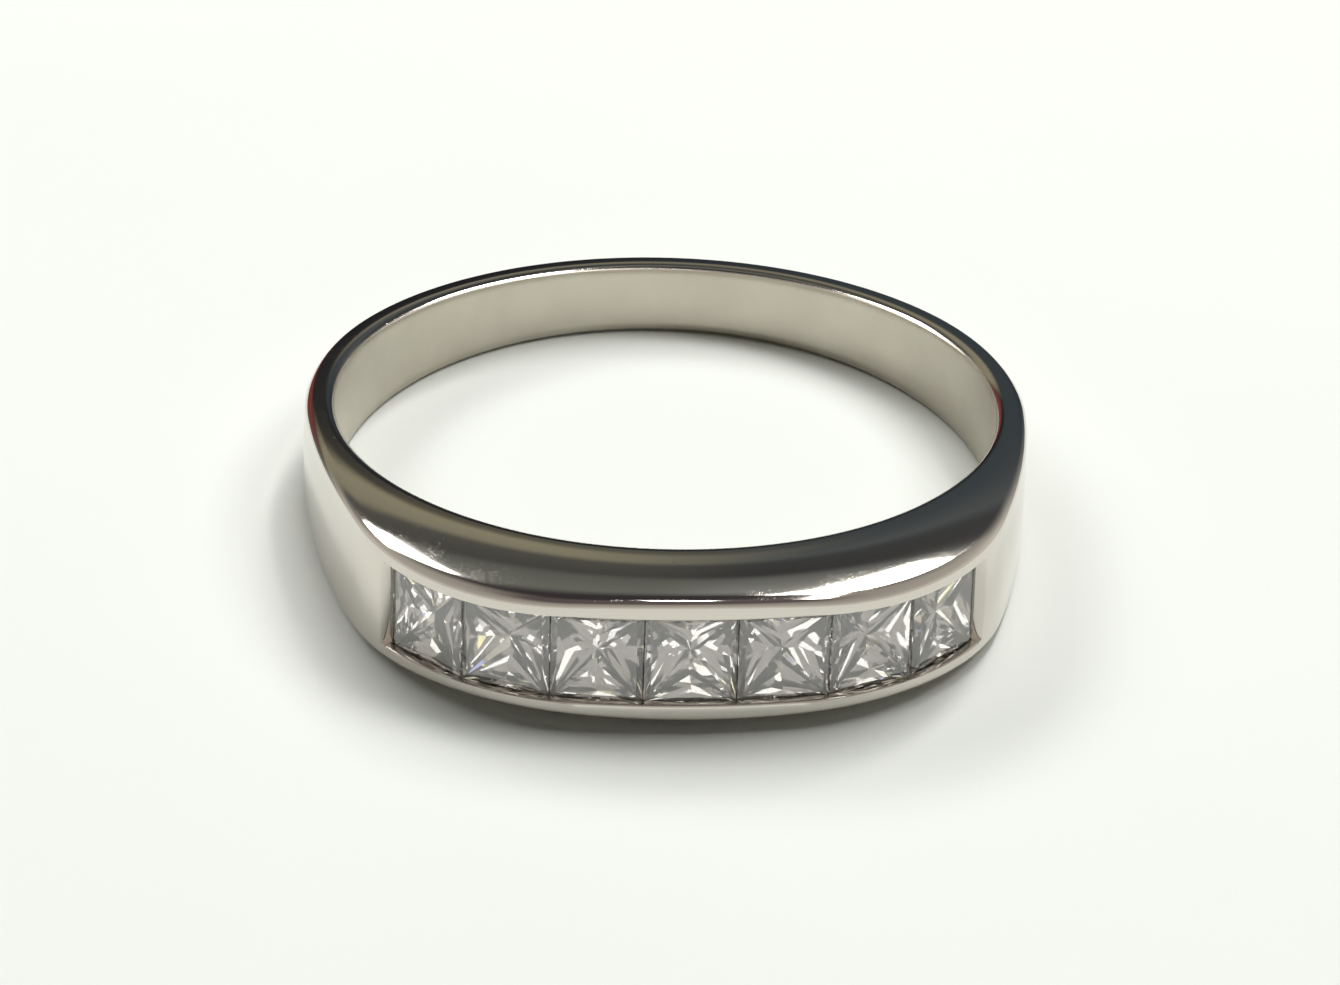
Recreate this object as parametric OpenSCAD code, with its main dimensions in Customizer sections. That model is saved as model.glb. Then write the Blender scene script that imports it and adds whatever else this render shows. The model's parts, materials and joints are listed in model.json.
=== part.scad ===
// Channel set band: a tapered white metal finger ring, with a row of square cut stones
// held between two rails across its cushion shaped head.
// The ring lies on its lower side face, as it does when it is put down.
// +Z is up, the head faces -Y, and the origin is the middle of the footprint, on the table.

/* [Finger hole] */
// Inside diameter of the ring
bore_d = 18.2; // [16.5:0.1:21]

/* [Head] */
// Thickness of the head at its middle, from the finger hole to the front face
head_t = 2.65; // [2.5:0.05:3.2]
// Width of the head across its side faces, measured at the finger hole
head_w = 4; // [3.8:0.05:4.6]
// Radius of the nearly flat front of the head, seen along the finger
front_r = 23; // [19:0.5:32]
// Half the breadth of that nearly flat front
front_half = 3.2; // [2.6:0.1:3.6]
// Radius of each rounded shoulder, seen along the finger
shoulder_r = 6.75; // [6.3:0.05:7.2]

/* [Shank] */
// Width of the shank at the back of the finger, measured at the finger hole
back_w = 2.1; // [1.8:0.05:3]
// Thickness of the shank
shank_t = 0.85; // [0.8:0.05:1.2]
// Angle from the middle of the head at which the plain round shank begins
shank_from = 86; // [82:1:96]
// Radius of the rounding across the back of the shank
crown_r = 1.8; // [1.7:0.1:2.6]
// Half the width of the flat strip left along the middle of the back
crown_flat = 0.35; // [0.2:0.05:0.5]

/* [Side faces] */
// Width of the flat land round the finger hole, on which the ring lies
land = 0.5; // [0.2:0.05:0.6]
// Radius of the swell of each side face, outside its land
side_r = 6.5; // [5.5:0.1:9]

/* [Stones] */
// Number of stones in the row
stones = 7; // [3:2:7]
// Length of one stone along the row
stone_l = 2.42; // [2.2:0.02:2.48]
// Width of one stone across the band
stone_w = 2.6; // [2.4:0.05:2.7]
// Gap between two stones, measured along the row
stone_gap = 0.02; // [0.01:0.01:0.06]
// Height of a stone above its girdle
crown_h = 0.12; // [0.1:0.01:0.16]
// Thickness of a stone's girdle
girdle_t = 0.07; // [0.04:0.01:0.1]
// Depth of a stone below its girdle
pavilion_h = 1.38; // [1.1:0.02:1.42]
// Depth of the tables below the front face of the head
recess = 0.2; // [0.19:0.01:0.25]

/* [Channel] */
// Cover of each rail's lip over the edge of the stones
lip_cover = 0.05; // [0.03:0.01:0.08]
// Thickness of each lip
lip_t = 0.26; // [0.2:0.02:0.26]
// Clearance between a stone's edge and the metal beside it
stone_clear = 0.04; // [0.03:0.01:0.06]
// Gap between the row and each end wall of the channel
end_gap = 0.04; // [0.03:0.01:0.1]
// Width of the ledge under each edge of the stones
ledge = 0.2; // [0.15:0.01:0.26]
// Gap between the points of the stones and the floor of the channel
floor_gap = 0.15; // [0.08:0.01:0.2]
// Diameter of the light hole drilled behind each stone
light_d = 1.1; // [0.8:0.1:1.4]

/* [Hidden] */
$fn = 144;

// Size that reaches past the ring on every side
far = 2 * bore_d;
bore_r = bore_d / 2;
head_out = bore_r + head_t;
shank_out = bore_r + shank_t;
land_r = bore_r + land;

// Half width of the ring on the finger's axis, and the slope of each side face
mid_h = (head_w + back_w) / 4;
taper = atan((head_w - back_w) / 2 / bore_d);

// The outline seen along the finger is a chain of arcs, each tangent to the next:
// front, shoulder, flank and shank. Angles are measured from the middle of the head.
function toward(a) = [sin(a), -cos(a)];
function flip(p) = [-p[0], p[1]];
front_a = asin(front_half / front_r);
front_c = [0, front_r - head_out];
shoulder_c = front_c + (front_r - shoulder_r) * toward(front_a);
shank_rise = shank_out - shoulder_r;
flank_shift = (shank_rise * shank_rise - shoulder_c * shoulder_c)
    / (2 * (toward(shank_from) * shoulder_c - shank_rise));
flank_r = shank_out + flank_shift;
flank_c = -flank_shift * toward(shank_from);
flank_out = shoulder_c - flank_c;
flank_a = atan2(flank_out[0], -flank_out[1]);
// How far the shallow arcs stay inside the rounder ones where they meet
hair = 0.0005;

// The rounding of the back is struck from a centre forward of the finger's axis,
// so that it fades away towards the sides
crown_shift = 1;
crown_out = shank_out + crown_shift + crown_r - sqrt(crown_r * crown_r - crown_flat * crown_flat);

// Depths below the front face
girdle_d = recess + crown_h + girdle_t;
point_d = girdle_d + pavilion_h;
floor_d = point_d + floor_gap;

// The row of stones follows the outline at the depth of the girdles' lower edges
pitch = stone_l + stone_gap;
row_front_r = front_r - girdle_d;
row_shoulder_r = shoulder_r - girdle_d;
row_bend = row_front_r * front_a * PI / 180;
function row_angle(s) = abs(s) <= row_bend
    ? s / row_front_r * 180 / PI
    : sign(s) * (front_a + (abs(s) - row_bend) / row_shoulder_r * 180 / PI);
function row_point(s) = abs(s) <= row_bend
    ? front_c + row_front_r * toward(row_angle(s))
    : (s > 0 ? shoulder_c : flip(shoulder_c)) + row_shoulder_r * toward(row_angle(s));
row_sag = row_shoulder_r - sqrt(row_shoulder_r * row_shoulder_r - stone_l * stone_l / 4);
row_end = (stones * pitch - stone_gap) / 2 + end_gap;
end_a = row_angle(row_end);
end_c = row_end <= row_bend ? front_c : shoulder_c;

// Shape of one stone, as shares of its half sides and of its heights.
// Each row of facet_rows is [distance from the middle, depth below the girdle].
table_share = 0.86;
star_share = 0.93;
star_rise = 0.5;
facet_rows = [[0.83, 0.23], [0.67, 0.42], [0.5, 0.6], [0.33, 0.75], [0.17, 0.88]];
rows = len(facet_rows);

// The ledges start at the depth where the sides of a stone have narrowed past them,
// and as much lower as a straight stone's middle sinks on the round of the shoulders
ledge_half = stone_w / 2 - ledge;
stone_side = concat(
    [[0, pavilion_h]],
    [for (i = [rows - 1:-1:0]) [facet_rows[i][0] * stone_w / 2, facet_rows[i][1] * pavilion_h]],
    [[stone_w / 2, 0]]
);
ledge_d = girdle_d + row_sag + lookup(ledge_half - stone_clear, stone_side);

// Where the ring lies: on its lower side face, with its footprint round the origin
lift = mid_h * cos(taper);
edge_h = mid_h + head_out * tan(taper) - side_r + sqrt(side_r * side_r - pow(head_t - land, 2));
foot_front = head_out * cos(taper) + edge_h * sin(taper);
foot_back = shank_out * cos(taper) + crown_flat * sin(taper);
module as_it_lies() {
    translate([0, (foot_front - foot_back) / 2, lift])
        rotate([-taper, 0, 0])
            children();
}

// One shallow arc of the outline: a disc cut to the given corners. It stays a hair inside
// the rounder discs at its ends, so that each pair crosses cleanly.
module arc_field(centre, r, corners) {
    intersection() {
        translate(centre)
            circle(r = r - hair);
        polygon(corners);
    }
}

// Outline of the ring seen along the finger, moved inwards by inset
module outline(inset) {
    shoulder_low = shoulder_c + far * toward(front_a);
    shoulder_high = shoulder_c + far * toward(flank_a);
    circle(r = shank_out - inset);
    arc_field(front_c, front_r - inset,
        [shoulder_c, shoulder_low, flip(shoulder_low), flip(shoulder_c)]);
    for (side = [0, 1])
        mirror([side, 0]) {
            translate(shoulder_c)
                circle(r = shoulder_r - inset);
            arc_field(flank_c, flank_r - inset,
                [[0, 0], shoulder_c, shoulder_high, far * toward(shank_from)]);
        }
}

// Solid under one side face: a flat land, then a swell that falls away outwards
module side_field() {
    translate([0, 0, mid_h])
        rotate([-taper, 0, 0])
            rotate_extrude() {
                translate([0, -side_r])
                    square([land_r, side_r]);
                translate([land_r, -side_r])
                    intersection() {
                        circle(r = side_r);
                        square(side_r);
                    }
            }
}

// Solid inside the rounding of the back, left square over the front half
module crown_field() {
    translate([0, -crown_shift, 0])
        rotate_extrude()
            intersection() {
                union() {
                    translate([0, -crown_r])
                        square([crown_out - crown_r, 2 * crown_r]);
                    translate([crown_out - crown_r, 0])
                        circle(r = crown_r);
                }
                translate([0, -far])
                    square([far, 2 * far]);
            }
    translate([-far, -2 * far, -far])
        cube([2 * far, 2 * far, 2 * far]);
}

// One step of the channel, between two depths below the front face
module channel_step(from, to, w) {
    corner = end_c + far * toward(end_a);
    linear_extrude(height = w, center = true)
        intersection() {
            difference() {
                outline(from);
                outline(to);
            }
            polygon([end_c, corner, [far, -2 * far], [-far, -2 * far], flip(corner), flip(end_c)]);
        }
}

// Places its children with +Z out of the front face, at the middle of stone k
module at_stone(k) {
    s = (k - (stones + 1) / 2) * pitch;
    p = row_point(s - stone_l / 2);
    q = row_point(s + stone_l / 2);
    middle = (p + q) / 2;
    translate([middle[0], middle[1], 0])
        rotate([90, 0, atan2(q[1] - p[1], q[0] - p[0])])
            children();
}

module band() {
    color("silver")
        as_it_lies()
            difference() {
                intersection() {
                    linear_extrude(height = 2 * head_w, center = true)
                        outline(0);
                    side_field();
                    mirror([0, 0, 1])
                        side_field();
                    crown_field();
                }
                cylinder(r = bore_r, h = 3 * head_w, center = true);
                channel_step(-head_t, lip_t, stone_w - 2 * lip_cover);
                channel_step(lip_t / 2, ledge_d, stone_w + 2 * stone_clear);
                channel_step(lip_t / 2, floor_d, 2 * ledge_half);
                for (k = [1:stones])
                    at_stone(k)
                        translate([0, 0, -pavilion_h - head_t])
                            cylinder(d = light_d, h = head_t);
            }
}

// Corners of a rectangle with the given half sides, at height z
function corners(a, b, z) = [[a, -b, z], [a, b, z], [-a, b, z], [-a, -b, z]];
// Middles of its sides, in the same turn: the side after corner 0, and so on
function middles(a, b, z) = [[a, 0, z], [0, b, z], [-a, 0, z], [0, -b, z]];

// A square brilliant: its lower girdle edge lies at z = 0 and its point below
module stone(k) {
    a = stone_l / 2;
    b = stone_w / 2;
    points = concat(
        corners(a * table_share, b * table_share, girdle_t + crown_h),
        middles(a * star_share, b * star_share, girdle_t + crown_h * star_rise),
        corners(a, b, girdle_t),
        corners(a, b, 0),
        [for (row = facet_rows) each middles(a * row[0], b * row[0], -pavilion_h * row[1])],
        [[0, 0, -pavilion_h]]
    );
    tip = len(points) - 1;
    faces = concat(
        [[3, 2, 1, 0]],
        [for (i = [0:3]) let (j = (i + 1) % 4) each concat(
            [[i, j, 4 + i], [i, 4 + i, 8 + i], [j, 8 + j, 4 + i], [8 + i, 4 + i, 8 + j]],
            [[8 + i, 8 + j, 12 + j, 12 + i], [12 + i, 12 + j, 16 + i]],
            [for (r = [0:rows - 2]) each [
                [12 + i, 16 + 4 * r + i, 20 + 4 * r + i],
                [12 + j, 20 + 4 * r + i, 16 + 4 * r + i]
            ]],
            [[12 + i, 12 + 4 * rows + i, tip], [12 + j, tip, 12 + 4 * rows + i]]
        )]
    );
    color("aliceblue")
        as_it_lies()
            at_stone(k)
                polyhedron(points, faces);
}

band();
for (k = [1:stones])
    stone(k);
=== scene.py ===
import json
import math
import random

import bmesh
import bpy
from mathutils import Matrix, Vector


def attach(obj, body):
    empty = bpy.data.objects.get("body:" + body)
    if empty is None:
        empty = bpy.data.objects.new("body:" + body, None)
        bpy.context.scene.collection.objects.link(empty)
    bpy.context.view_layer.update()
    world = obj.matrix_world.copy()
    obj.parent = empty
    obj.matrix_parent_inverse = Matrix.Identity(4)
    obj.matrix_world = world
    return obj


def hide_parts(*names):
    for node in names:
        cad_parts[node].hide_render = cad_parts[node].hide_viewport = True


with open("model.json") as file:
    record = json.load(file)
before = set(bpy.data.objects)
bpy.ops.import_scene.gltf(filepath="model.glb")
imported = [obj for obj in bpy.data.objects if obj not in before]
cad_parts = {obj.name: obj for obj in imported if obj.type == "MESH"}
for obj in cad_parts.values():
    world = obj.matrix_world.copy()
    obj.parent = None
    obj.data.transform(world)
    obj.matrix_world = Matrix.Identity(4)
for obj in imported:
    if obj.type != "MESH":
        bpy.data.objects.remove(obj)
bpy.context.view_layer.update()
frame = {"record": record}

MM = 0.001

# Sizes of the ring, in millimetres
HEAD_THICK = 2.65
HEAD_WIDE = 4.0
BACK_WIDE = 2.1
FRONT_R = 23.0
FRONT_HALF = 3.2
SHOULDER_R = 6.75
SHANK_THICK = 0.85
SHANK_FROM = math.radians(86)
LAND = 0.5
SWELL_R = 6.5

# Sizes of the stones and of their channel
STONES = 7
STONE_LONG = 2.42
STONE_WIDE = 2.6
STONE_GAP = 0.02
CROWN_HIGH = 0.12
GIRDLE = 0.07
PAVILION_DEEP = 1.38
RECESS = 0.2
LIP_COVER = 0.05
LIP_THICK = 0.26
GROOVE_CLEAR = 0.04
END_GAP = 0.04
LEDGE = 0.2
LEDGE_DEEP = 0.846
FLOOR_GAP = 0.15
HOLE_WIDE = 1.1

# Slope that a graver leaves at each end of the channel. The block that cuts it goes on into the
# channel and out into the air, and keeps some play to the lips.
SLOPE_DEEP = 0.28
SLOPE_LONG = 0.16
SLOPE_BACK = 0.2
SLOPE_AIR = 0.3
SLOPE_PLAY = 0.01

# Roundings that the polisher leaves, in millimetres, first on the head and then on the back of the
# shank, how sharply the outer face is domed, and the angles between which head fades to back
BORE_IN = (0.16, 0.4)
BORE_DOWN = (0.16, 0.12)
LIP_EDGE = 0.09
CORNER_IN = (0.34, 0.16)
CORNER_DOWN = (0.15, 0.2)
FACE_BEND = (1 / 45, 1 / 8)
BACK_FROM, BACK_TO = math.radians(70), math.radians(125)

# Shape of a stone, as shares of its half sides and of its heights
TABLE_SHARE, STAR_SHARE, STAR_RISE = 0.86, 0.93, 0.5
CHEVRONS = ((0.83, 0.23), (0.67, 0.42), (0.5, 0.6), (0.33, 0.75), (0.17, 0.88))
# How far a hand cut facet's corner strays, in millimetres, with its shares sideways, outwards and
# in depth, and how steeply a stone is set askew
STRAY = 0.05
STRAY_SHARES = (1, 0.5, 0.5)
ASKEW = 0.012

# How many steps each stretch of a cross section is cut into
WALL_STEPS, EDGE_STEPS, LAND_STEPS, SWELL_STEPS = 5, 5, 3, 12
CORNER_STEPS, RAIL_STEPS, MOUTH_STEPS, LIP_STEPS = 10, 3, 8, 4
# Widest gap between cross sections on each arc of the outline, in degrees
STATION_GAPS = (0.6, 0.9, 0.9, 0.9, 1.5)
# Least depth that the swell of a side face keeps, and where the outer face's own points end, as a
# share of its half height, if it is narrower there than the channel
SWELL_LEAST = 0.04
FACE_SHARE = 0.85
# Rounds in which a side face's height and a corner's place settle
HEIGHT_ROUNDS, CORNER_ROUNDS = 6, 4
HOLE_SIDES = 40
# Edges that turn by more than this stay sharp
CREASE = math.radians(32)

# The floor's radius in metres and its sides, half a turn in degrees, and the camera's numbers
FLOOR_R, FLOOR_SIDES = 1.5, 64
HALF_TURN = 180
PHOTO_WIDE = 1340
SENSOR_WIDE = 36.0

# Roughness of the metal in the finger hole and outside, the width over which the one turns into the
# other, in millimetres from the bore, and the height of the wear's relief, in millimetres
SATIN_ROUGH, POLISH_ROUGH = 0.33, 0.06
SATIN_TO, POLISH_FROM = 0.02, 0.1
WEAR_HIGH = 0.0016
DIAMOND_BENDS = 2.42

LAMP_WHITE = (1.0, 0.99, 0.97)
# Lamps overhead that the metal mirrors: name, place, size, turn in degrees and power
MIRRORED_LAMPS = (
    ("lamp right", (0.23, 0.455, 0.6), (0.11, 0.28), -30, 1.9),
    ("lamp left", (-0.332, 0.595, 0.6), (0.335, 0.31), 2, 2.4),
    ("strip lamp", (0.188, 0.18, 0.6), (0.04, 0.28), 0, 0.4),
    ("top lamp", (0.03, 0.055, 0.6), (0.07, 0.025), -20, 0.15),
)
# Lamps that shape the shadow on the floor and that nothing mirrors: name, place and power. Each is
# a disc of the same width.
FLOOR_LAMPS = (
    ("floor lamp right", (0.45, 0.05, 0.65), 1.6),
    ("floor lamp left", (-0.4, 0.25, 0.45), 0.85),
    ("floor lamp above", (0.12, 0.22, 0.7), 2.1),
)
FLOOR_LAMP_WIDE = 0.3

hole = next(m for m in frame["record"]["mounts"] if m["name"] == "finger_hole")
BORE_R = hole["dims"]["r_mm"]
LEAN = math.atan2(hole["axis"][1], hole["axis"][2])
LIES = Matrix.Translation(Vector(hole["pos_m"])) @ Matrix.Rotation(-LEAN, 4, "X")

HEAD_OUT = BORE_R + HEAD_THICK
SHANK_OUT = BORE_R + SHANK_THICK
LAND_R = BORE_R + LAND
HALF_WIDE = (HEAD_WIDE + BACK_WIDE) / 4


def toward(angle):
    """Direction in the ring's plane, turned from the middle of the head."""
    return Vector((math.sin(angle), -math.cos(angle)))


# The outline seen along the finger is a chain of arcs, each tangent to the next
FRONT_A = math.asin(FRONT_HALF / FRONT_R)
FRONT_C = Vector((0, FRONT_R - HEAD_OUT))
SHOULDER_C = FRONT_C + (FRONT_R - SHOULDER_R) * toward(FRONT_A)
SHANK_RISE = SHANK_OUT - SHOULDER_R
FLANK_SHIFT = (SHANK_RISE ** 2 - SHOULDER_C.length_squared) / (
    2 * (toward(SHANK_FROM).dot(SHOULDER_C) - SHANK_RISE))
FLANK_C = -FLANK_SHIFT * toward(SHANK_FROM)
FLANK_A = math.atan2(SHOULDER_C.x - FLANK_C.x, FLANK_C.y - SHOULDER_C.y)
ARCS = (
    (FRONT_A, FRONT_C, FRONT_R),
    (FLANK_A, SHOULDER_C, SHOULDER_R),
    (SHANK_FROM, FLANK_C, SHANK_OUT + FLANK_SHIFT),
    (math.pi, Vector((0, 0)), SHANK_OUT),
)

GIRDLE_DEEP = RECESS + CROWN_HIGH + GIRDLE
FLOOR_DEEP = GIRDLE_DEEP + PAVILION_DEEP + FLOOR_GAP
PITCH = STONE_LONG + STONE_GAP
ROW_BEND = (FRONT_R - GIRDLE_DEEP) * FRONT_A
ROW_END = (STONES * PITCH - STONE_GAP) / 2 + END_GAP
# Slack in comparing angles
NEAR = 1e-9


def row_angle(along):
    """Angle of the face's normal at a length along the row of stones."""
    if abs(along) <= ROW_BEND:
        return along / (FRONT_R - GIRDLE_DEEP)
    past = (abs(along) - ROW_BEND) / (SHOULDER_R - GIRDLE_DEEP)
    return math.copysign(FRONT_A + past, along)


END_A = row_angle(ROW_END)


def outline(angle, inset=0.0):
    """Point of the outline where its normal has this angle, moved inwards by inset."""
    _, centre, radius = next(arc for arc in ARCS if abs(angle) <= arc[0] + NEAR)
    if angle < 0:
        centre = Vector((-centre.x, centre.y))
    return centre + (radius - inset) * toward(angle)


def fade(value, low, high):
    """Smooth step from 0 at low to 1 at high."""
    t = min(1.0, max(0.0, (value - low) / (high - low)))
    return t * t * (3 - 2 * t)


def on_the_way(pair, angle):
    """Value that goes from the head's to that of the back of the shank."""
    return pair[0] + (pair[1] - pair[0]) * fade(abs(angle), BACK_FROM, BACK_TO)


def steps(start, stop, count):
    """Evenly spaced values from start to stop, without start."""
    return [start + (stop - start) * i / count for i in range(1, count + 1)]


def rounded(start, corner, stop, count, fullness=0.75):
    """Points of the conic that rounds off a corner, without start."""
    points = []
    for t in steps(0.0, 1.0, count):
        shares = ((1 - t) ** 2, 2 * fullness * t * (1 - t), t * t)
        points.append(tuple(
            sum(s * p[i] for s, p in zip(shares, (start, corner, stop))) / sum(shares)
            for i in (0, 1)))
    return points


def inward(place, normal, radius):
    """How far in from the outline the bore's circle, or one round it, is met."""
    reach = place.dot(normal)
    return reach - math.sqrt(reach ** 2 - place.length_squared + radius ** 2)


def side_height(x, y):
    """Height of the upper side face over the ring's middle plane: a flat land, then a swell."""
    drop = 0.0
    for _ in range(HEIGHT_ROUNDS):
        z = HALF_WIDE + (drop - y * math.sin(LEAN)) / math.cos(LEAN)
        from_axis = math.hypot(x, y * math.cos(LEAN) - (z - HALF_WIDE) * math.sin(LEAN))
        drop = math.sqrt(SWELL_R ** 2 - max(0.0, from_axis - LAND_R) ** 2) - SWELL_R
    return z


def face(angle, height):
    """Point of the outer face, as (depth under the outline, height)."""
    return height ** 2 / 2 * on_the_way(FACE_BEND, angle), height


def channel_profile():
    """Half of the channel's cross section, from its mouth's edge to the middle of its floor."""
    mouth = STONE_WIDE / 2 - LIP_COVER
    groove = STONE_WIDE / 2 + GROOVE_CLEAR
    ledge_half = STONE_WIDE / 2 - LEDGE
    start = face(0, mouth + LIP_EDGE)
    stop = (start[0] + LIP_EDGE, mouth)
    return [start, *rounded(start, (start[0], mouth), stop, LIP_STEPS),
            (LIP_THICK, mouth), (LIP_THICK, groove), (LEDGE_DEEP, groove),
            (LEDGE_DEEP, ledge_half), (FLOOR_DEEP, ledge_half), (FLOOR_DEEP, 0.0)]


PROFILE = channel_profile()
MOUTH = PROFILE[0][1]


def half_section(angle):
    """Upper half of the metal's cross section, from the middle of the bore's wall to the edge of
    the channel's mouth."""
    place, normal = outline(angle), toward(angle)
    bore = inward(place, normal, BORE_R)
    bore_in, bore_down, corner_in, corner_down = (
        on_the_way(pair, angle) for pair in (BORE_IN, BORE_DOWN, CORNER_IN, CORNER_DOWN))
    land_end = max(inward(place, normal, LAND_R), corner_in + SWELL_LEAST)

    def side(depth):
        x, y = place - normal * depth
        return depth, side_height(x, y)

    top = side(bore)[1]
    points = [(bore, z) for z in [0.0] + steps(0.0, top - bore_down, WALL_STEPS)]
    points += rounded(points[-1], (bore, top), side(bore - bore_in), EDGE_STEPS)
    points += [side(depth) for depth in steps(bore - bore_in, land_end, LAND_STEPS)]
    points += [side(depth) for depth in steps(land_end, corner_in, SWELL_STEPS)]
    start = points[-1]
    slope = (start[1] - side(0.0)[1]) / corner_in
    corner = (0.0, 0.0)
    for _ in range(CORNER_ROUNDS):
        corner = (corner[0], start[1] - slope * (corner_in - corner[0]))
        stop = face(angle, corner[1] - corner_down)
        corner = (stop[0] + stop[1] * on_the_way(FACE_BEND, angle) * corner_down, corner[1])
    points += rounded(start, corner, stop, CORNER_STEPS)
    rail_end = min(MOUTH, FACE_SHARE * stop[1])
    return points + [face(angle, z) for z in steps(stop[1], rail_end, RAIL_STEPS)]


def station_angles():
    """Angles at which the metal's cross section is laid out, once round the finger."""
    ends = (0.0, FRONT_A, END_A, FLANK_A, SHANK_FROM, math.pi)
    half = [0.0]
    for start, stop, gap in zip(ends, ends[1:], STATION_GAPS):
        half += steps(start, stop, math.ceil(math.degrees(stop - start) / gap))
    return [-angle for angle in reversed(half[1:-1])] + half


def metal_mesh():
    """The ring's metal as one closed skin, with its channel open at the face."""
    skin = bmesh.new()
    stations = []
    for angle in station_angles():
        place, normal = outline(angle), toward(angle)

        def corners(points, up=1):
            made = []
            for depth, height in points:
                x, y = place - normal * depth
                made.append(skin.verts.new((x * MM, y * MM, up * height * MM)))
            return made

        half = half_section(angle)
        upper, lower = corners(half), corners(reversed(half[1:]), -1)
        filling = {}
        if abs(angle) <= END_A + NEAR:
            filling["channel"] = corners(PROFILE[1:]) + corners(reversed(PROFILE[1:-1]), -1)
        if abs(angle) >= END_A - NEAR:
            edge = half[-1][1]
            filling["plain"] = corners(face(angle, z) for z in steps(edge, -edge, MOUTH_STEPS)[:-1])
        if len(filling) == 2:
            skin.faces.new([upper[-1], *filling["channel"], lower[0], *reversed(filling["plain"])])
        stations.append((upper, filling, lower))
    for here, there in zip(stations, stations[1:] + stations[:1]):
        kind = next(k for k in here[1] if k in there[1])
        one, other = ([*s[0], *s[1][kind], *s[2]] for s in (here, there))
        for i in range(len(one)):
            skin.faces.new((one[i - 1], one[i], other[i], other[i - 1]))
    bmesh.ops.recalc_face_normals(skin, faces=skin.faces)
    return skin


def to_mesh(name, shape):
    """Turns a shape under work into a mesh."""
    mesh = bpy.data.meshes.new(name)
    shape.to_mesh(mesh)
    shape.free()
    return mesh


def place_object(name, data):
    """Puts a mesh, a lamp or a camera into the scene."""
    thing = bpy.data.objects.new(name, data)
    bpy.context.scene.collection.objects.link(thing)
    return thing


def stone_seat(index):
    """Place of a stone's girdle in the ring's plane, and the angle its table faces."""
    along = (index - (STONES + 1) / 2) * PITCH
    ends = [outline(row_angle(along + side * STONE_LONG / 2), GIRDLE_DEEP) for side in (-1, 1)]
    run = ends[1] - ends[0]
    return (ends[0] + ends[1]) / 2, math.atan2(run.y, run.x)


def add_slope(cutter, side):
    """Adds the block that cuts the slope at one end of the channel, with its outer part in the
    air."""
    half = STONE_WIDE / 2 - LIP_COVER - SLOPE_PLAY
    near, far = END_A - SLOPE_BACK / SHOULDER_R, END_A + SLOPE_LONG / SHOULDER_R
    corners = [outline(side * angle, inset) for angle, inset in (
        (near, SLOPE_DEEP * (1 + SLOPE_BACK / SLOPE_LONG)), (far, 0.0),
        (far, -SLOPE_AIR), (near, -SLOPE_AIR))]
    low, high = ([cutter.verts.new((x * MM, y * MM, z * MM)) for x, y in corners]
                 for z in (-half, half))
    for ring in (low, high):
        cutter.faces.new(ring)
    for i in range(len(corners)):
        cutter.faces.new((low[i - 1], low[i], high[i], high[i - 1]))


def drill_and_slope(metal):
    """Drills the round light hole behind each stone through to the bore, and slopes the channel's
    ends."""
    drill = bmesh.new()
    for side in (-1, 1):
        add_slope(drill, side)
    for index in range(1, STONES + 1):
        seat, angle = stone_seat(index)
        middle = (seat - toward(angle) * (PAVILION_DEEP + HEAD_THICK / 2)) * MM
        turn = Matrix.Rotation(angle, 4, "Z") @ Matrix.Rotation(math.pi / 2, 4, "X")
        bmesh.ops.create_cone(
            drill, cap_ends=True, segments=HOLE_SIDES,
            radius1=HOLE_WIDE / 2 * MM, radius2=HOLE_WIDE / 2 * MM,
            depth=HEAD_THICK * MM, matrix=Matrix.Translation(middle.to_3d()) @ turn)
    bmesh.ops.recalc_face_normals(drill, faces=drill.faces)
    tool = place_object("drill", to_mesh("drill", drill))
    cut = metal.modifiers.new("light holes", "BOOLEAN")
    cut.operation, cut.solver, cut.object = "DIFFERENCE", "EXACT", tool
    whole = metal.data
    metal.data = bpy.data.meshes.new_from_object(
        metal.evaluated_get(bpy.context.evaluated_depsgraph_get()))
    metal.data.name = "band"
    metal.modifiers.clear()
    bpy.data.objects.remove(tool)
    bpy.data.meshes.remove(whole)


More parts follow.
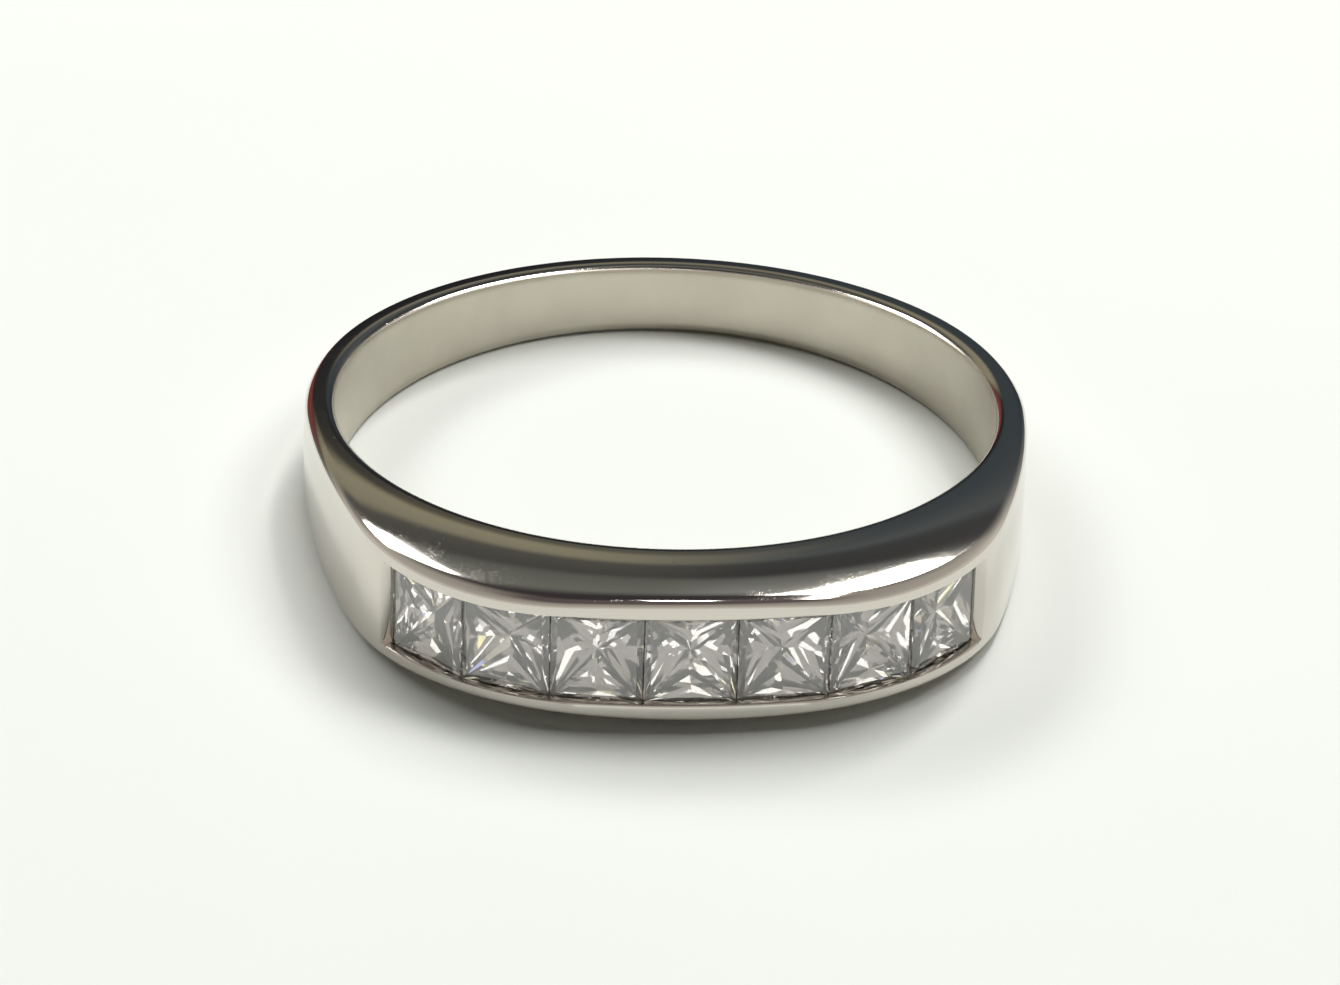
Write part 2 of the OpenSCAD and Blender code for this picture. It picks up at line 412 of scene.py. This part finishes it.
def stone_mesh(index):
    """A square brilliant cut by hand: table, crown, girdle and chevron pavilion.
    Its lower girdle edge lies at height 0 and its point below."""
    chance = random.Random(7 * index + 3)
    half_long, half_wide = STONE_LONG / 2, STONE_WIDE / 2
    lean = [chance.uniform(-ASKEW, ASKEW) for _ in range(2)]
    turn = ((1, -1), (1, 0), (1, 1), (0, 1), (-1, 1), (-1, 0), (-1, -1), (0, -1))
    shape = bmesh.new()

    def vertex(x, y, z):
        return shape.verts.new((x * MM, y * MM, (z + lean[0] * x + lean[1] * y) * MM))

    def corners(share, height):
        return {i: vertex(turn[i][0] * half_long * share, turn[i][1] * half_wide * share, height)
                for i in (0, 2, 4, 6)}

    def middles(share, height, stray):
        made = {}
        for i in (1, 3, 5, 7):
            a, b = turn[i]
            aside, out, down = (chance.uniform(-stray, stray) * part for part in STRAY_SHARES)
            made[i] = vertex(a * (half_long * share + out) + abs(b) * aside,
                             b * (half_wide * share + out) + abs(a) * aside, height + down)
        return made

    table = corners(TABLE_SHARE, GIRDLE + CROWN_HIGH)
    waist, foot = corners(1.0, GIRDLE), corners(1.0, 0.0)
    stars = middles(STAR_SHARE, GIRDLE + CROWN_HIGH * STAR_RISE, 0.0)
    rows = [middles(share, -PAVILION_DEEP * depth, STRAY) for share, depth in CHEVRONS]
    tip = vertex(*(chance.uniform(-STRAY, STRAY) for _ in range(2)), -PAVILION_DEEP)
    shape.faces.new(list(table.values()))
    for i in (0, 2, 4, 6):
        j, middle = (i + 2) % 8, i + 1
        star = stars[middle]
        faces = [(table[i], table[j], star), (table[i], star, waist[i]), (table[j], waist[j], star),
                 (waist[i], star, waist[j]), (waist[i], waist[j], foot[j], foot[i]),
                 (foot[i], foot[j], rows[0][middle])]
        chain = [row[middle] for row in rows] + [tip]
        for upper, lower in zip(chain, chain[1:]):
            faces += [(foot[i], upper, lower), (foot[j], lower, upper)]
        for corner in faces:
            shape.faces.new(corner)
    bmesh.ops.recalc_face_normals(shape, faces=shape.faces)
    mesh = to_mesh(f"diamond_{index}", shape)
    seat, angle = stone_seat(index)
    upright = Matrix.Rotation(angle, 4, "Z") @ Matrix.Rotation(math.pi / 2, 4, "X")
    mesh.transform(LIES @ Matrix.Translation(seat.to_3d() * MM) @ upright)
    return mesh


class Wire:
    """An output on a material's sheet of nodes. Arithmetic on it adds Math nodes."""

    def __init__(self, sheet, socket):
        self.sheet, self.socket = sheet, socket

    def work(self, operation, first, second):
        return self.sheet.add("Math", {"operation": operation}, {0: first, 1: second})

    def __add__(self, other):
        return self.work("ADD", self, other)

    def __radd__(self, other):
        return self.work("ADD", other, self)

    def __sub__(self, other):
        return self.work("SUBTRACT", self, other)

    def __rsub__(self, other):
        return self.work("SUBTRACT", other, self)

    def __mul__(self, other):
        return self.work("MULTIPLY", self, other)

    def __rmul__(self, other):
        return self.work("MULTIPLY", other, self)

    def __truediv__(self, other):
        return self.work("DIVIDE", self, other)

    def __pow__(self, other):
        return self.work("POWER", self, other)


class Sheet:
    """The nodes of one material, or of the room's light."""

    def __init__(self, owner):
        owner.use_nodes = True
        self.tree = owner.node_tree
        self.tree.nodes.clear()

    def add(self, kind, settings=None, values=None, output=0):
        """Adds a node with its settings and its sockets' values or wires, and gives one output."""
        node = self.tree.nodes.new("ShaderNode" + kind)
        for name, value in (settings or {}).items():
            if name == "stops":
                self.set_stops(node.color_ramp, value)
            else:
                setattr(node, name, value)
        for name, value in (values or {}).items():
            if isinstance(value, Wire):
                self.tree.links.new(value.socket, node.inputs[name])
            else:
                node.inputs[name].default_value = value
        return Wire(self, node.outputs[output]) if len(node.outputs) else None

    @staticmethod
    def set_stops(ramp, stops):
        while len(ramp.elements) < len(stops):
            ramp.elements.new(1.0)
        for element, (position, colour) in zip(ramp.elements, stops):
            element.position = position
            element.color = (*colour, 1.0)

    def blend(self, factor, first, second):
        """Mixes two colours."""
        return self.add("Mix", {"data_type": "RGBA"}, {0: factor, 6: first, 7: second}, 2)

    def ring_place(self):
        """Place on the ring in millimetres, in the frame whose Z is the bore's axis."""
        back = LIES.inverted()
        place = self.add("TexCoord", output="Object")
        return self.add("VectorMath", {"operation": "SCALE"}, {
            0: self.add("Mapping", {}, {
                "Vector": place, "Location": back.to_translation(), "Rotation": back.to_euler()}),
            "Scale": 1 / MM})

    def step(self, value, low, high):
        """Smooth step of a value, from 0 at low to 1 at high."""
        return self.add("MapRange", {"interpolation_type": "SMOOTHSTEP"},
                        {"Value": value, "From Min": low, "From Max": high})

    def grain(self, place, scale, detail=2.0, stretch=(1.0, 1.0, 1.0), turn=(0.0, 0.0, 0.0)):
        """Noise from 0 to 1, stretched along turned axes."""
        laid = self.add("Mapping", {}, {"Vector": place, "Scale": stretch, "Rotation": turn})
        return self.add("TexNoise", {}, {"Vector": laid, "Scale": scale, "Detail": detail})


def rgb(red, green, blue):
    """A solid colour for a node's socket."""
    return (red, green, blue, 1.0)


def metal_material():
    """White gold: mirror polished outside with fine wear, satin inside the finger hole."""
    material = bpy.data.materials.new("white gold")
    sheet = Sheet(material)
    in_mm = sheet.ring_place()
    x, y = (sheet.add("SeparateXYZ", {}, {0: in_mm}, axis) for axis in ("X", "Y"))
    from_axis = (x * x + y * y) ** 0.5
    polished = sheet.step(from_axis, BORE_R + SATIN_TO, BORE_R + POLISH_FROM)
    cloud = sheet.grain(in_mm, 0.7, 3.0)
    fine = sheet.grain(in_mm, 9.0, 3.0)
    scuffs = sheet.step(cloud, 0.42, 0.6) * sum(
        sheet.step(sheet.grain(in_mm, 16.0, 1.0, (2.5, 1.0, 1.0), (0.3 * i, 0.5 + i, 1.1 * i)),
                   0.66, 0.76)
        for i in range(2))
    dots = sheet.add("TexVoronoi", {}, {"Vector": in_mm, "Scale": 3.2}, "Distance")
    pits = (1 - sheet.step(dots, 0.02, 0.11)) * sheet.step(cloud, 0.5, 0.62)
    satin = sheet.blend(cloud, rgb(0.49, 0.455, 0.385), rgb(0.62, 0.58, 0.50))
    colour = sheet.blend(polished, satin, rgb(0.67, 0.63, 0.578))
    height = (fine * 0.15 + cloud * 0.5) - scuffs * 0.28 - pits * 1.6
    bump = sheet.add("Bump", {}, {"Strength": 0.6, "Distance": WEAR_HIGH * MM, "Height": height})
    roughness = (polished * (POLISH_ROUGH - SATIN_ROUGH) + SATIN_ROUGH
                 + fine * 0.02 + scuffs * 0.05 + pits * 0.1)
    surface = sheet.add("BsdfPrincipled", {}, {
        "Base Color": colour, "Metallic": 1.0, "Roughness": roughness, "Normal": bump})
    sheet.add("OutputMaterial", {}, {"Surface": surface})
    return material


def stone_material():
    """Colourless diamond."""
    material = bpy.data.materials.new("diamond")
    sheet = Sheet(material)
    surface = sheet.add("BsdfPrincipled", {}, {
        "Base Color": rgb(0.99, 0.975, 0.94), "Roughness": 0.0, "IOR": DIAMOND_BENDS,
        "Transmission Weight": 0.91})
    sheet.add("OutputMaterial", {}, {"Surface": surface})
    return material


def floor_material():
    """Plain pale paper."""
    material = bpy.data.materials.new("pale paper")
    sheet = Sheet(material)
    place = sheet.add("TexCoord", output="Object")
    mottle = sheet.grain(place, 60.0, 3.0)
    colour = sheet.blend(mottle, rgb(0.815, 0.845, 0.808), rgb(0.845, 0.875, 0.838))
    surface = sheet.add("BsdfPrincipled", {}, {
        "Base Color": colour, "Roughness": 0.75, "Specular IOR Level": 0.2})
    sheet.add("OutputMaterial", {}, {"Surface": surface})
    return material


def room_stops(*stops):
    """Stops of a ramp that is half a turn long, from stops given in degrees."""
    return [(degrees / HALF_TURN, colour) for degrees, colour in stops]


def light_the_room():
    """The room round the table. The metal mirrors it: dim on the far side, with pale walls
    elsewhere. The stones see a speckled room, the floor gets no light from it, and the camera
    sees it plain and pale."""
    world = bpy.data.worlds.new("room")
    bpy.context.scene.world = world
    sheet = Sheet(world)
    way = sheet.add("TexCoord", output="Generated")
    x, y, z = (sheet.add("SeparateXYZ", {}, {0: way}, axis) for axis in ("X", "Y", "Z"))

    def turn_of(one, other):
        """Angle of a direction in half turns."""
        return sheet.add("Math", {"operation": "ARCTAN2"}, {0: one, 1: other}) / math.pi

    def past(turn, low, high):
        """Smooth step of such an angle, with its ends in degrees."""
        return sheet.step(turn, low / HALF_TURN, high / HALF_TURN)

    over = turn_of(z, y)
    up = turn_of(z, (x * x + y * y) ** 0.5)
    aside = turn_of(x, y)
    overhead = ((58, (0.05, 0.045, 0.05)), (104, (0.04, 0.025, 0.03)))
    left = sheet.add("ValToRGB", {"stops": room_stops(
        (0, (0.05, 0.045, 0.04)), (4, (0.02, 0.02, 0.022)), (19.5, (0.02, 0.02, 0.025)),
        (22, (0.34, 0.32, 0.23)), (28, (0.29, 0.275, 0.205)), (31, (0.105, 0.105, 0.095)),
        (40, (0.08, 0.08, 0.075)), (43, (0.14, 0.15, 0.135)), (52, (0.19, 0.20, 0.18)),
        *overhead)}, {0: over})
    right = sheet.add("ValToRGB", {"stops": room_stops(
        (0, (0.05, 0.05, 0.055)), (4, (0.025, 0.03, 0.035)), (19, (0.052, 0.068, 0.08)),
        (22, (0.07, 0.08, 0.09)), (28, (0.10, 0.115, 0.12)), (31, (0.06, 0.064, 0.068)),
        (40, (0.05, 0.05, 0.052)), (43, (0.16, 0.17, 0.165)), (52, (0.28, 0.295, 0.28)),
        *overhead)}, {0: over})
    far_side = sheet.blend(sheet.step(x, 0.03, 0.12), left, right)
    red = past(aside, -30, -22) * (1 - past(aside, -8, -3)) * (1 - past(up, 17, 20))
    far_side = sheet.blend(red, far_side, rgb(0.22, 0.055, 0.05))
    walls = sheet.add("ValToRGB", {"stops": room_stops(
        (0, (0.76, 0.74, 0.70)), (20, (0.72, 0.69, 0.64)), (35, (0.54, 0.51, 0.46)),
        (50, (0.47, 0.45, 0.41)), (62, (0.40, 0.37, 0.34)), (73, (0.13, 0.11, 0.11)),
        (90, (0.14, 0.12, 0.12)))}, {0: up})
    distance = sheet.add("Math", {"operation": "ABSOLUTE"}, {0: aside})
    in_stone, on_floor, in_camera = (sheet.add("LightPath", output=f"Is {kind} Ray")
                                     for kind in ("Transmission", "Diffuse", "Camera"))
    stone_sees = sheet.blend(sheet.grain(way, 7.0), rgb(0.235, 0.213, 0.197), rgb(0.53, 0.50, 0.46))
    flecks = sheet.step(sheet.grain(way, 4.0, 1.0, turn=(0.4, 0.0, 0.0)), 0.585, 0.605)
    stone_sees = sheet.blend(flecks, stone_sees, rgb(1.7, 1.68, 1.6))
    for tint, turn in ((rgb(1.5, 1.4, 0.8), (0.0, 1.0, 0.0)),
                       (rgb(0.75, 0.8, 1.5), (0.0, 2.0, 0.0))):
        sparks = sheet.step(sheet.grain(way, 13.0, 0.0, turn=turn), 0.79, 0.81)
        stone_sees = sheet.blend(sparks, stone_sees, tint)
    light = sheet.blend(past(distance, 20, 60), far_side, walls)
    light = sheet.blend(in_stone, light, stone_sees)
    light = sheet.blend(on_floor, light, rgb(0.0, 0.0, 0.0))
    light = sheet.blend(in_camera, light, rgb(0.93, 0.94, 0.92))
    surface = sheet.add("Background", {}, {"Color": light, "Strength": 1.0})
    sheet.add("OutputWorld", {}, {"Surface": surface})


def add_lamp(name, shape, place, power):
    """A soft lamp that the camera doesn't see."""
    lamp = bpy.data.lights.new(name, "AREA")
    lamp.shape, lamp.energy, lamp.color = shape, power, LAMP_WHITE
    thing = place_object(name, lamp)
    thing.location = place
    thing.visible_camera = False
    return thing


def add_mirrored_lamp(name, place, size, turn, power):
    """A rectangular lamp that shines straight down."""
    thing = add_lamp(name, "RECTANGLE", place, power)
    thing.data.size, thing.data.size_y = size
    thing.rotation_euler = (0, 0, math.radians(turn))


def add_floor_lamp(name, place, power):
    """A round lamp that shines at the ring."""
    thing = add_lamp(name, "DISK", place, power)
    thing.data.size = FLOOR_LAMP_WIDE
    thing.rotation_euler = Vector(place).to_track_quat("Z", "Y").to_euler()
    thing.visible_glossy = thing.visible_transmission = False


def add_camera():
    """The photograph's viewing angle, found in the ring's own frame by fitting its outlines."""
    azimuth, elevation, roll = (math.radians(v) for v in (-4.507, 28.778, 1.938))
    focus, distance = 5792.56 / PHOTO_WIDE, 160.0
    aim = (0.202, -1.207)
    back = Vector((math.sin(azimuth) * math.cos(elevation),
                   -math.cos(azimuth) * math.cos(elevation), math.sin(elevation)))
    level = Vector((math.cos(azimuth), math.sin(azimuth), 0))
    above = back.cross(level)
    right = math.cos(roll) * level + math.sin(roll) * above
    up = math.cos(roll) * above - math.sin(roll) * level
    place = (back * distance + level * aim[0] + above * aim[1]) * MM
    turn = Matrix((right, up, back)).transposed().to_4x4()
    lens = bpy.data.cameras.new("camera")
    lens.sensor_width = SENSOR_WIDE
    lens.lens = focus * lens.sensor_width
    lens.clip_start, lens.clip_end = 0.01, 5.0
    camera = place_object("camera", lens)
    camera.matrix_world = LIES @ Matrix.Translation(place) @ turn
    bpy.context.scene.camera = camera


add_camera()
light_the_room()
for lamp_row in MIRRORED_LAMPS:
    add_mirrored_lamp(*lamp_row)
for lamp_row in FLOOR_LAMPS:
    add_floor_lamp(*lamp_row)

floor = place_object("floor", bpy.data.meshes.new("floor"))
table = bmesh.new()
bmesh.ops.create_circle(table, cap_ends=True, segments=FLOOR_SIDES, radius=FLOOR_R)
table.to_mesh(floor.data)
table.free()
floor.data.materials.append(floor_material())
floor.visible_transmission = False

band = place_object("channel_band", to_mesh("whole band", metal_mesh()))
drill_and_slope(band)
band.data.transform(LIES)
band.data.shade_smooth()
band.data.set_sharp_from_angle(angle=CREASE)
band.data.materials.append(metal_material())
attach(band, "root")
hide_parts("band")

diamond = stone_material()
for index in range(1, STONES + 1):
    stone = place_object(f"diamond_{index}", stone_mesh(index))
    stone.data.materials.append(diamond)
    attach(stone, "root")
    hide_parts(f"stone_{index}")

bpy.context.scene.view_settings.view_transform = "Standard"
